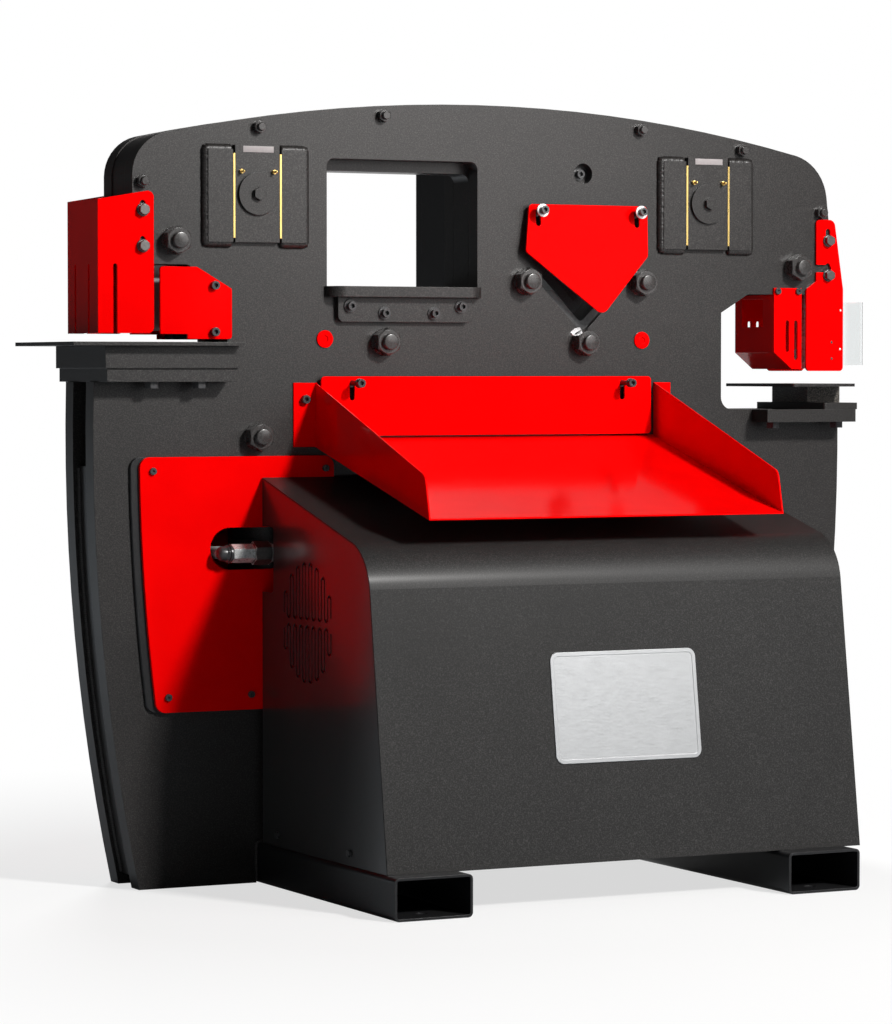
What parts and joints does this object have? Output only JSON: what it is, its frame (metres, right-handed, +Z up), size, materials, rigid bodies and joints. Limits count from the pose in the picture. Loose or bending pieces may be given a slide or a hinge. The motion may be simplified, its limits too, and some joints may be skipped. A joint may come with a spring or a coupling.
{
  "type": "hydraulic ironworker",
  "caption": "Hydraulic ironworker: twin arched side plates with a sliding beam, notcher, tool window, angle and plate shears, punch, guards, tray and a hooded power unit.",
  "frame": {"origin": "on the floor, in the middle of the four anchor holes in the two foot tubes", "axes": "+X to the right along the machine's length, seen from the operator at the front; +Y to the back; +Z up out of the floor"},
  "size_m": [1.73, 0.99, 1.462],
  "materials": {
    "charcoal_coat": "fine textured powder coat, satin",
    "black_coat": "satin paint",
    "black_hardware": "black oxide",
    "red_coat": "glossy powder coat",
    "tool_steel": "ground",
    "zinc_steel": "zinc plated",
    "brass": "milled",
    "hose_rubber": "smooth matt",
    "clear_sheet": "clear polycarbonate"
  },
  "bodies": {
    "frame": {"front_side_plate": "charcoal_coat", "rear_side_plate": "charcoal_coat", "edge_spacers": "charcoal_coat", "lower_bed": "charcoal_coat", "top_cover_strip": "charcoal_coat", "perimeter_studs": "black_hardware", "tie_bolts": "black_hardware", "slide_gibs": "charcoal_coat", "brass_wear_strips": "brass", "foot_tubes": "black_coat", "hood_wrap": "charcoal_coat", "hood_sides": "charcoal_coat", "panel_screws": "black_hardware", "cylinder_covers": "red_coat", "cylinder_barrel": "charcoal_coat", "cylinder_pin": "zinc_steel", "port_fitting": "zinc_steel", "pressure_hose": "hose_rubber", "reservoir": "black_coat", "motor_body": "charcoal_coat", "pump": "charcoal_coat", "valve_block": "zinc_steel", "switch_box": "black_coat", "switch_box_lid": "black_coat", "tool_table": "charcoal_coat", "tool_table_brackets": "charcoal_coat", "socket_screws": "black_hardware", "hole_plugs": "red_coat", "lower_plate_blade": "tool_steel", "lower_angle_blade": "tool_steel", "notcher_table": "charcoal_coat", "notcher_support": "charcoal_coat", "notcher_die": "tool_steel", "notcher_clamp_bolts": "black_hardware", "notcher_inner_guards": "red_coat", "punch_brackets": "charcoal_coat", "punch_base_plate": "charcoal_coat", "punch_die_holder": "charcoal_coat", "punch_die": "tool_steel", "punch_table": "charcoal_coat", "punch_bracket_bolts": "black_hardware", "punch_inner_guard": "red_coat", "tray": "red_coat", "guard_posts": "black_hardware"},
    "beam": {"beam": "charcoal_coat", "guide_pins": "tool_steel", "slide_blocks": "charcoal_coat", "slide_retainers": "charcoal_coat", "grease_fittings": "brass", "upper_plate_blade": "tool_steel", "upper_angle_blade": "tool_steel", "notcher_blade": "tool_steel", "punch_ram": "zinc_steel", "cylinder_rod": "tool_steel"},
    "rotor": {"motor_rotor": "zinc_steel"},
    "angle_guard": {"angle_guard": "red_coat"},
    "plate_guard": {"plate_guard": "red_coat"},
    "notcher_guard": {"notcher_guard": "red_coat"},
    "punch_guard": {"punch_guard": "red_coat", "punch_shield": "clear_sheet"}
  },
  "joints": [
    {"name": "beam_stroke", "type": "slide", "parent": "frame", "child": "beam", "axis": [0, 0, -1], "range_m": [0, 0.032]},
    {"name": "motor_spin", "type": "hinge", "parent": "frame", "child": "rotor", "pos_m": [0, -0.135, 0.4372], "axis": [1, 0, 0], "continuous": true},
    {"name": "angle_guard_slide", "type": "slide", "parent": "frame", "child": "angle_guard", "axis": [0, 0.1045, 0.9945], "range_m": [0, 0.022]},
    {"name": "plate_guard_slide", "type": "slide", "parent": "frame", "child": "plate_guard", "axis": [0, 0, 1], "range_m": [0, 0.027]},
    {"name": "notcher_guard_slide", "type": "slide", "parent": "frame", "child": "notcher_guard", "axis": [0, 0, -1], "range_m": [0, 0.012]},
    {"name": "punch_guard_slide", "type": "slide", "parent": "frame", "child": "punch_guard", "axis": [0, 0, -1], "range_m": [0, 0.019]}
  ]
}
